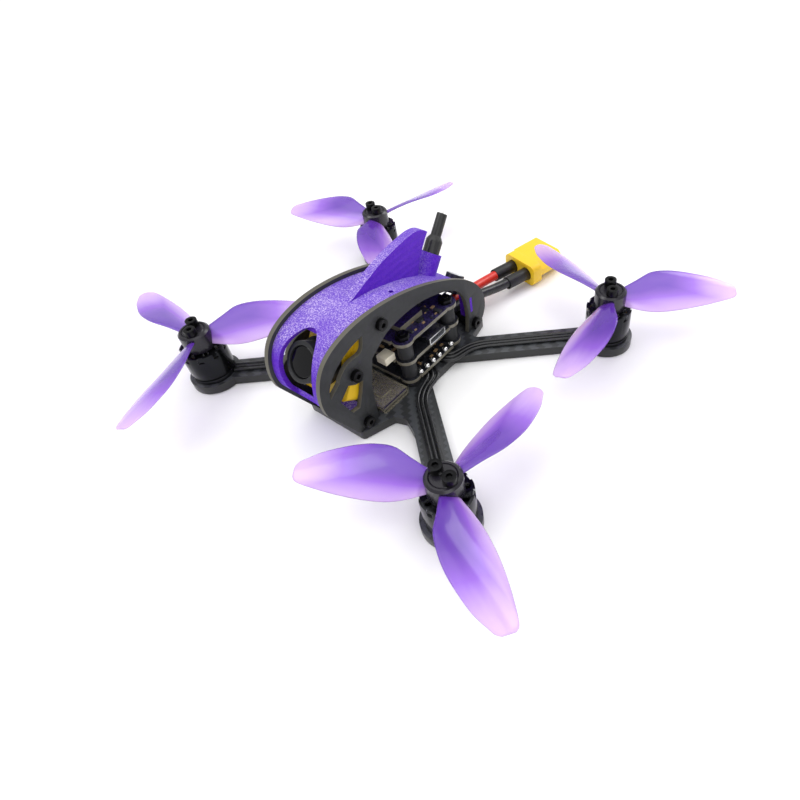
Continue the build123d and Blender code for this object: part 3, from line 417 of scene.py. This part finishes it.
# A welded copy of a CAD node with true flats, smooth rounds and softened edges
def finishedCopy(node, body, material, soften=0.0):
    mesh = frame["nodes"][node].data.copy()
    work = bmesh.new()
    work.from_mesh(mesh)
    bmesh.ops.remove_doubles(work, verts=work.verts, dist=copyRules["weld"])
    bmesh.ops.dissolve_limit(work, angle_limit=copyRules["flat"], verts=work.verts, edges=work.edges)
    if soften:
        sharp = [e for e in work.edges if e.is_manifold and e.calc_face_angle(0) > copyRules["bevelFrom"]]
        bmesh.ops.bevel(work, geom=sharp, offset=soften * millimetre, segments=2, profile=0.6,
                        affect="EDGES", clamp_overlap=True)
    for face in work.faces:
        face.smooth = True
    for edge in work.edges:
        edge.smooth = not (edge.is_manifold and edge.calc_face_angle(0) > copyRules["creaseFrom"])
    work.to_mesh(mesh)
    work.free()
    mesh.materials.clear()
    mesh.materials.append(material)
    piece = bpy.data.objects.new(node + "_finished", mesh)
    bpy.context.scene.collection.objects.link(piece)
    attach(piece, body)
    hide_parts(node)
    return piece


# Battery leads: silicone wire from the power board's rear pads to the plug behind the drone. The diameter is
# in millimetres, the lengths and routes in metres.
leadWire = {"diameter": 3.4, "red": 0.0506, "black": 0.0493,
            "redRoute": [(-0.0008, 0.0090, 0.0084), (-0.0004, 0.0200, 0.0094), (0.0009, 0.0320, 0.0075),
                         (0.0004, 0.0456, 0.0046), (0.0036, 0.0588, 0.0041)],
            "blackRoute": [(0.0032, 0.0090, 0.0084), (0.0036, 0.0200, 0.0094), (0.0051, 0.0320, 0.0075),
                           (0.0072, 0.0439, 0.0046), (0.0106, 0.0571, 0.0041)]}


def batteryLead(colour, material):
    route = leadWire[colour + "Route"]
    curve = bpy.data.curves.new("lead", "CURVE")
    curve.dimensions = "3D"
    spline = curve.splines.new("NURBS")
    spline.points.add(len(route) - 1)
    for point, place in zip(spline.points, route):
        point.co = (*place, 1.0)
    spline.order_u = 3
    spline.use_endpoint_u = True
    spline.resolution_u = 16
    curve.bevel_depth = leadWire["diameter"] / 2 * millimetre
    curve.bevel_resolution = 6
    curve.use_fill_caps = True
    curve.materials.append(material)
    lead = bpy.data.objects.new("lead_" + colour, curve)
    bpy.context.scene.collection.objects.link(lead)
    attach(lead, "root")
    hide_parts("power_lead_" + colour)


plugShell = finishedCopy("connector_housing", "root", yellowNylon, 0.25)
plugPins = finishedCopy("connector_pins", "root", goldPins, 0.3)
leadShrink = finishedCopy("lead_sleeves", "root", blackShrink, 0.08)
batteryLead("red", redSilicone)
batteryLead("black", blackSilicone)
print("leads ready")

# Frame plates and fasteners
finishedCopy("base_plate", "root", basePlateFinish, 0.12)
for side in ("left", "right"):
    finishedCopy("side_plate_" + side, "root", sidePlateFinish, 0.14)
for node in ("side_plate_screws", "motor_screws", "stack_screws", "stack_nuts"):
    finishedCopy(node, "root", blackSteel, 0.1)
finishedCopy("standoffs", "root", darkAlloy, 0.1)
canopyShell = finishedCopy("canopy", "root", canopyFinish, 0.25)

# Vent hole beside the fin, drilled straight down through the skin
vent = {"x": 6.0, "y": -7.0, "low": 33.0, "high": 50.0, "radius": 0.75}
ventMiddle = Vector((vent["x"], vent["y"], (vent["low"] + vent["high"]) / 2)) * millimetre
drill = bmesh.new()
bmesh.ops.create_cone(drill, cap_ends=True, segments=24, radius1=vent["radius"] * millimetre,
                      radius2=vent["radius"] * millimetre, depth=(vent["high"] - vent["low"]) * millimetre,
                      matrix=Matrix.Translation(ventMiddle))
drillMesh = bpy.data.meshes.new("drill")
drill.to_mesh(drillMesh)
drill.free()
drillPiece = bpy.data.objects.new("drill", drillMesh)
bpy.context.scene.collection.objects.link(drillPiece)
bore = canopyShell.modifiers.new("bore", "BOOLEAN")
bore.operation = "DIFFERENCE"
bore.solver = "EXACT"
bore.object = drillPiece
bored = evaluatedMesh(canopyShell)
canopyShell.modifiers.clear()
canopyShell.data = bored
bpy.data.objects.remove(drillPiece)
print("canopy drilled,", len(bored.polygons), "faces")

finishedCopy("antenna_sleeve", "root", blackShrink, 0.3)
finishedCopy("antenna_whip", "root", milkyWhip, 0.1)
finishedCopy("motor_wires", "root", blackSilicone)
print("frame ready")

# Lens unit on its tilting screws
finishedCopy("camera_housing", "camera", amberCase, 0.35)
finishedCopy("camera_board", "camera", blackBoard, 0.05)
finishedCopy("camera_lens", "camera", lensBarrel, 0.25)
finishedCopy("lens_glass", "camera", coatedGlass)
finishedCopy("camera_screws", "camera", blackSteel, 0.1)
finishedCopy("channel_button", "button", ivoryNylon, 0.1)
print("camera ready")

# Electronics
for node in ("esc_board", "fc_board"):
    finishedCopy(node, "root", blackBoard, 0.08)
finishedCopy("vtx_board", "root", violetBoard, 0.08)
finishedCopy("receiver_board", "root", violetBoard, 0.08)
finishedCopy("esc_solder_joints", "root", tinSolder, 0.1)
finishedCopy("usb_port", "root", nickelPort, 0.12)
wirePlug = finishedCopy("wire_connector", "root", ivoryNylon, 0.2)
# The plug shows a little smaller than its CAD solid, drawn in towards its seat on the board
wirePlugSize = 0.76
plugLow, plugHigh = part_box("wire_connector")
plugSeat = Matrix.Translation(((plugLow.x + plugHigh.x) / 2, plugHigh.y, plugLow.z))
wirePlug.data.transform(plugSeat @ Matrix.Scale(wirePlugSize, 4) @ plugSeat.inverted())
finishedCopy("grommets", "root", softRubber, 0.25)
finishedCopy("receiver_sleeve", "root", clearShrink(), 0.15)
canLean = math.radians(38)
finishedCopy("capacitor", "root", cannedCapacitor((0, math.sin(canLean), math.cos(canLean))))


# A small part's sides as shares of its size, the most parts in a square metre, and how the size varies
smallPart = {"sides": (1.0, 0.55, 0.4), "density": 3e6, "smallest": 0.6, "largest": 1.5}


# Small parts soldered on a board, scattered on a patch and turned by quarter turns
def scatterTree():
    tree = bpy.data.node_groups.new("boardParts", "GeometryNodeTree")
    for label, kind in (("Patch", "Geometry"), ("Spacing", "Float"), ("Part size", "Float"),
                        ("Seed", "Int"), ("Finish", "Material")):
        tree.interface.new_socket(name=label, in_out="INPUT", socket_type="NodeSocket" + kind)
    tree.interface.new_socket(name="Parts", in_out="OUTPUT", socket_type="NodeSocketGeometry")
    given = addNode(tree, "NodeGroupInput")
    spots = addNode(tree, "GeometryNodeDistributePointsOnFaces", {"Mesh": given.outputs["Patch"],
                    "Distance Min": given.outputs["Spacing"], "Density Max": smallPart["density"],
                    "Seed": given.outputs["Seed"]}, distribute_method="POISSON")
    body = addNode(tree, "GeometryNodeMeshCube", {"Size": smallPart["sides"]})
    quarter = addNode(tree, "FunctionNodeRandomValue", {"Seed": given.outputs["Seed"]}, data_type="INT")
    quarter.inputs[4].default_value = 0
    quarter.inputs[5].default_value = 3
    angle = addNode(tree, "ShaderNodeMath", {0: quarter.outputs[2], 1: math.pi / 2}, operation="MULTIPLY")
    facing = addNode(tree, "ShaderNodeCombineXYZ", {"Z": angle.outputs[0]})
    vary = addNode(tree, "FunctionNodeRandomValue", {"Seed": given.outputs["Seed"]}, data_type="FLOAT")
    vary.inputs[2].default_value = smallPart["smallest"]
    vary.inputs[3].default_value = smallPart["largest"]
    size = addNode(tree, "ShaderNodeMath", {0: vary.outputs[1], 1: given.outputs["Part size"]},
                   operation="MULTIPLY")
    placed = addNode(tree, "GeometryNodeInstanceOnPoints", {"Points": spots.outputs["Points"],
                     "Instance": body.outputs["Mesh"], "Rotation": facing.outputs["Vector"],
                     "Scale": size.outputs[0]})
    solid = addNode(tree, "GeometryNodeRealizeInstances", {"Geometry": placed.outputs["Instances"]})
    coloured = addNode(tree, "GeometryNodeSetMaterial", {"Geometry": solid.outputs["Geometry"],
                       "Material": given.outputs["Finish"]})
    addNode(tree, "NodeGroupOutput", {"Parts": coloured.outputs["Geometry"]})
    return tree


# Runs a node tree on a source mesh with its named inputs and keeps the result as a plain mesh on one body
def grownPiece(name, source, tree, inputs, body):
    holder = bpy.data.objects.new(name + "Source", source)
    bpy.context.scene.collection.objects.link(holder)
    modifier = holder.modifiers.new("grow", "NODES")
    modifier.node_group = tree
    for item in tree.interface.items_tree:
        if item.item_type == "SOCKET" and item.in_out == "INPUT" and item.name in inputs:
            modifier[item.identifier] = inputs[item.name]
    mesh = evaluatedMesh(holder)
    bpy.data.objects.remove(holder)
    piece = bpy.data.objects.new(name, mesh)
    bpy.context.scene.collection.objects.link(piece)
    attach(piece, body)
    return piece


# A level rectangle with corners in millimetres and its height in metres
def patchMesh(name, low, high, height):
    mesh = bpy.data.meshes.new(name)
    corners = ((low[0], low[1]), (high[0], low[1]), (high[0], high[1]), (low[0], high[1]))
    mesh.from_pydata([(x * millimetre, y * millimetre, height) for x, y in corners], [], [(0, 1, 2, 3)])
    return mesh


# Fired ceramic of the chip capacitors, the black epoxy of small chips and the tin of bare pads
chipCeramic = grainedSurface("firedCeramic", "#a58a68", "#8a6f50", 0.3, 0.01, 0.0, 0.4)
chipEpoxy = grainedSurface("chipEpoxy", "#1b1c1f", "#26272b", 0.3, 0.01, 0.0, 0.5)
chipTin = grainedSurface("tinnedPads", "#cfcfcc", "#b9b9b6", 0.3, 0.01, 1.0, 0.25, 0.06)
scatter = scatterTree()
# Each board's patch in millimetres, and how far its laminate lies below the top of its tallest part
boardPatches = {"esc_board": ((-11.5, -9.0), (11.2, 7.2), 0.9), "fc_board": ((-7.0, -11.0), (7.6, 10.5), 0.9),
                "vtx_board": ((-11.5, -7.0), (11.5, 6.0), 1.8)}
# Each kind's finish, its spacing and its size in millimetres
boardParts = {"ceramics": (chipCeramic, 2.4, 1.0), "chips": (chipEpoxy, 3.4, 1.6),
              "pads": (chipTin, 2.1, 0.6)}
# Lift is how far the middle of each small part lies above its board, in millimetres
partRules = {"lift": 0.15, "firstSeed": 7, "boardStep": 10}
for boardNumber, (board, (low, high, chipHeight)) in enumerate(boardPatches.items()):
    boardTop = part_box(board)[1].z - chipHeight * millimetre
    for kindNumber, (kind, (finish, spacing, size)) in enumerate(boardParts.items()):
        patch = patchMesh(board + kind, low, high, boardTop + partRules["lift"] * millimetre)
        seed = partRules["firstSeed"] + partRules["boardStep"] * boardNumber + kindNumber
        grownPiece(f"{board}_{kind}", patch, scatter,
                   {"Spacing": spacing * millimetre, "Part size": size * millimetre, "Seed": seed,
                    "Finish": finish}, "root")
print("electronics ready")


# Turns of wire round each tooth of a stator, repeated round the bearing tube
def windingTree():
    tree = bpy.data.node_groups.new("toothWindings", "GeometryNodeTree")
    for label, kind in (("Seat", "Geometry"), ("Teeth", "Int"), ("Turns", "Int"), ("Inner", "Float"),
                        ("Pitch", "Float"), ("Width", "Float"), ("Height", "Float"), ("Wire", "Float"),
                        ("Finish", "Material")):
        tree.interface.new_socket(name=label, in_out="INPUT", socket_type="NodeSocket" + kind)
    tree.interface.new_socket(name="Coils", in_out="OUTPUT", socket_type="NodeSocketGeometry")
    given = addNode(tree, "NodeGroupInput")
    start = addNode(tree, "ShaderNodeCombineXYZ", {"X": given.outputs["Inner"]})
    step = addNode(tree, "ShaderNodeCombineXYZ", {"X": given.outputs["Pitch"]})
    row = addNode(tree, "GeometryNodeMeshLine", {"Count": given.outputs["Turns"],
                  "Start Location": start.outputs["Vector"], "Offset": step.outputs["Vector"]},
                  mode="OFFSET")
    loop = addNode(tree, "GeometryNodeCurvePrimitiveQuadrilateral", {"Width": given.outputs["Height"],
                   "Height": given.outputs["Width"]})
    rounded = addNode(tree, "GeometryNodeFilletCurve", {"Curve": loop.outputs["Curve"],
                      "Radius": 0.4 * millimetre, "Count": 3}, mode="POLY")
    upright = addNode(tree, "GeometryNodeTransform", {"Geometry": rounded.outputs["Curve"],
                      "Rotation": (0.0, math.pi / 2, 0.0)})
    section = addNode(tree, "GeometryNodeCurvePrimitiveCircle", {"Radius": given.outputs["Wire"],
                      "Resolution": 6})
    wire = addNode(tree, "GeometryNodeCurveToMesh", {"Curve": upright.outputs["Geometry"],
                   "Profile Curve": section.outputs["Curve"]})
    coil = addNode(tree, "GeometryNodeInstanceOnPoints", {"Points": row.outputs["Mesh"],
                   "Instance": wire.outputs["Mesh"]})
    teeth = addNode(tree, "GeometryNodeMeshLine", {"Count": given.outputs["Teeth"], "Offset": (0, 0, 0)},
                    mode="OFFSET")
    which = addNode(tree, "GeometryNodeInputIndex")
    share = addNode(tree, "ShaderNodeMath", {0: which.outputs[0], 1: given.outputs["Teeth"]},
                    operation="DIVIDE")
    angle = addNode(tree, "ShaderNodeMath", {0: share.outputs[0], 1: 2 * math.pi}, operation="MULTIPLY")
    facing = addNode(tree, "ShaderNodeCombineXYZ", {"Z": angle.outputs[0]})
    ring = addNode(tree, "GeometryNodeInstanceOnPoints", {"Points": teeth.outputs["Mesh"],
                   "Instance": coil.outputs["Instances"], "Rotation": facing.outputs["Vector"]})
    seated = addNode(tree, "GeometryNodeInstanceOnPoints", {"Points": given.outputs["Seat"],
                     "Instance": ring.outputs["Instances"]})
    solid = addNode(tree, "GeometryNodeRealizeInstances", {"Geometry": seated.outputs["Instances"]})
    coloured = addNode(tree, "GeometryNodeSetMaterial", {"Geometry": solid.outputs["Geometry"],
                       "Material": given.outputs["Finish"]})
    addNode(tree, "NodeGroupOutput", {"Coils": coloured.outputs["Geometry"]})
    return tree


# Motors and propellers, one set at each corner
rotorNames = ("front_left", "front_right", "rear_left", "rear_right")
jointsByChild = {joint["child"]: joint for joint in frame["joints"]}
axes = {name: Vector(jointsByChild["rotor_" + name]["pos_m"]) for name in rotorNames}
coilLow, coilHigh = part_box("stator_windings")
coilSeats = bpy.data.meshes.new("coilSeats")
coilMiddle = (coilLow.z + coilHigh.z) / 2
coilSeats.from_pydata([(axes[name].x, axes[name].y, coilMiddle) for name in rotorNames], [], [])
windings = {"Teeth": 9, "Turns": 4, "Inner": 3.7 * millimetre, "Pitch": 0.34 * millimetre,
            "Width": 1.45 * millimetre, "Height": 5.95 * millimetre, "Wire": 0.16 * millimetre,
            "Finish": enamelledCopper}
coils = grownPiece("wound_coils", coilSeats, windingTree(), windings, "root")
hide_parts("stator_windings")
finishedCopy("stators", "root", coatedSteel, 0.05)
finishedCopy("motor_bearings", "root", groundSteel, 0.1)

# Stations give radius, lead and trail in millimetres, and pitch in degrees. Rest gives the first blade's
# angle in degrees and the way the rotor turns.
bladeShape = {"stations": ((3.6, 2.8, 2.8, 36), (9.0, 5.4, 4.8, 33), (13.5, 7.6, 5.8, 30),
                           (18.5, 8.0, 6.0, 26), (23.0, 7.5, 5.8, 22), (28.0, 6.2, 5.3, 19),
                           (32.5, 4.6, 4.6, 16), (36.0, 2.6, 3.9, 14), (37.4, 1.7, 3.3, 13),
                           (38.0, 0.7, 2.4, 13)),
              "rows": 34, "around": 20, "rootThickness": 1.7, "tipThickness": 0.7, "camber": 0.10,
              "blades": 3, "tipCrowding": 1.35, "trailingThinning": 0.25,
              "slack": 1e-6, "tipMargin": 1e-4,
              "rest": {"front_left": (86.3, -1), "front_right": (54.1, 1), "rear_left": (38.4, 1),
                       "rear_right": (76.2, -1)}}
hubShape = {"radius": 4.8, "height": 6.4, "bore": 0.8, "chamfer": 0.55, "foot": 0.3, "segments": 56,
            "groove": (1.5, 1.3, 1.1), "grooveDepth": 0.25}


# The blade's lead, trail and pitch at a radius, on a smooth curve through the stations
def stationAt(radius):
    rows = bladeShape["stations"]
    index = max(i for i in range(len(rows) - 1) if rows[i][0] <= radius + bladeShape["slack"])
    before, here = rows[max(index - 1, 0)], rows[index]
    after, beyond = rows[index + 1], rows[min(index + 2, len(rows) - 1)]
    t = (radius - here[0]) / (after[0] - here[0])
    values = []
    for k in (1, 2, 3):
        slopeIn = (after[k] - before[k]) / (after[0] - before[0]) * (after[0] - here[0])
        slopeOut = (beyond[k] - here[k]) / (beyond[0] - here[0]) * (after[0] - here[0])
        values.append((2 * t ** 3 - 3 * t ** 2 + 1) * here[k] + (t ** 3 - 2 * t ** 2 + t) * slopeIn
                      + (3 * t ** 2 - 2 * t ** 3) * after[k] + (t ** 3 - t ** 2) * slopeOut)
    return values


# One blade as closed rings from root to tip, with its span and chord written as UV
def addBlade(work, layer, centre, angle, spin, middle):
    radial = Vector((math.cos(angle), math.sin(angle), 0))
    sideways = Vector((-math.sin(angle), math.cos(angle), 0))
    first, last = bladeShape["stations"][0][0], bladeShape["stations"][-1][0]
    around, rows = bladeShape["around"], bladeShape["rows"]
    rings, marks = [], []
    for row in range(rows + 1):
        span = 1 - (1 - row / rows) ** bladeShape["tipCrowding"]
        radius = first + (last - first) * span
        lead, trail, pitch = stationAt(min(radius, last - bladeShape["tipMargin"]))
        tilt = math.radians(pitch)
        chordWay = sideways * (spin * math.cos(tilt)) + Vector((0, 0, math.sin(tilt)))
        lift = chordWay.cross(radial) * -spin
        if lift.z < 0:
            lift = -lift
        root, tip = bladeShape["rootThickness"], bladeShape["tipThickness"]
        thinning = bladeShape["trailingThinning"]
        thickness = root + (tip - root) * span
        ring, mark = [], []
        for step in range(around):
            turnAngle = 2 * math.pi * step / around
            chord = math.cos(turnAngle)  # 1 at the leading edge, -1 at the trailing edge
            along = (lead - trail) / 2 + (lead + trail) / 2 * chord
            thick = math.sin(turnAngle) * thickness / 2 * (1 - thinning + thinning * chord)
            arch = bladeShape["camber"] * (lead + trail) / 2 * (1 - chord * chord)
            place = radial * radius + chordWay * along + lift * (thick + arch)
            ring.append(work.verts.new(centre + (place + Vector((0, 0, middle))) * millimetre))
            mark.append((span, (1 - chord) / 2))
        rings.append(ring)
        marks.append(mark)
    faces = []
    for row in range(rows):
        for step in range(around):
            after = (step + 1) % around
            corners = [(row, step), (row, after), (row + 1, after), (row + 1, step)]
            face = work.faces.new([rings[r][s] for r, s in corners])
            faces.append((face, [marks[r][s] for r, s in corners]))
    for row in (0, rows):
        faces.append((work.faces.new(rings[row]), marks[row]))
    for face, places in faces:
        face.material_index = 0
        for corner, place in zip(face.loops, places):
            corner[layer].uv = place


# The hub turned about its bore, with a groove round its top
def addHub(work, centre, bottom, top):
    outer, bore = hubShape["radius"], hubShape["bore"]
    inside, deepest, outside = [outer - inset for inset in hubShape["groove"]]
    profile = [(bore, top), (inside, top), (deepest, top - hubShape["grooveDepth"]), (outside, top),
               (outer - hubShape["chamfer"], top), (outer, top - hubShape["chamfer"]),
               (outer, bottom + hubShape["foot"]), (outer - hubShape["foot"], bottom), (bore, bottom)]
    segments = hubShape["segments"]
    rings = []
    for segment in range(segments):
        angle = 2 * math.pi * segment / segments
        way = Vector((math.cos(angle), math.sin(angle), 0))
        places = [centre + (way * radius + Vector((0, 0, height))) * millimetre for radius, height in profile]
        rings.append([work.verts.new(place) for place in places])
    for segment in range(segments):
        here, after = rings[segment], rings[(segment + 1) % segments]
        for k in range(len(profile)):
            nextK = (k + 1) % len(profile)
            face = work.faces.new((here[k], here[nextK], after[nextK], after[k]))
            face.material_index = 1


# Glossy dark hub of the same moulding, where the tint is too thick to see through
hubFinish = grainedSurface("thickTintHub", "#1d1a24", "#15121b", 0.9, 0.01, 0.0, 0.26, 0.05)


# One propeller on its rotor: three tinted blades and their hub in one mesh, seated on the bell
def mouldedPropeller(name):
    angle, spin = bladeShape["rest"][name]
    centre = axes[name].copy()
    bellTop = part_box("motor_bell_" + name)[1].z / millimetre
    bladeStep = 360 / bladeShape["blades"]
    work = bmesh.new()
    layer = work.loops.layers.uv.new("UVMap")
    for blade in range(bladeShape["blades"]):
        addBlade(work, layer, centre, math.radians(angle + bladeStep * blade), spin,
                 bellTop + hubShape["height"] / 2)
    addHub(work, centre, bellTop, bellTop + hubShape["height"])
    bmesh.ops.recalc_face_normals(work, faces=work.faces)
    for face in work.faces:
        face.smooth = True
    for edge in work.edges:
        onHub = edge.is_manifold and edge.link_faces[0].material_index == 1
        edge.smooth = not (onHub and edge.calc_face_angle(0) > copyRules["creaseFrom"])
    mesh = bpy.data.meshes.new("propeller_" + name + "_moulded")
    work.to_mesh(mesh)
    work.free()
    mesh.materials.append(bladeFinish)
    mesh.materials.append(hubFinish)
    piece = bpy.data.objects.new(mesh.name, mesh)
    bpy.context.scene.collection.objects.link(piece)
    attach(piece, "rotor_" + name)
    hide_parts("propeller_" + name)


for name in rotorNames:
    body = "rotor_" + name
    centre = tuple(axes[name])
    finishedCopy("motor_bell_" + name, body, anodisedBell("anodisedBell_" + name, centre), 0.14)
    finishedCopy("motor_base_" + name, "root", darkAlloy, 0.15)
    finishedCopy("rotor_magnets_" + name, body, coatedSteel)
    finishedCopy("motor_shaft_" + name, body, groundSteel, 0.08)
    finishedCopy("prop_screws_" + name, body, blackSteel, 0.14)
    mouldedPropeller(name)
print("rotors ready")

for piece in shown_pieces():
    if piece.type == "MESH":
        piece.data.validate()
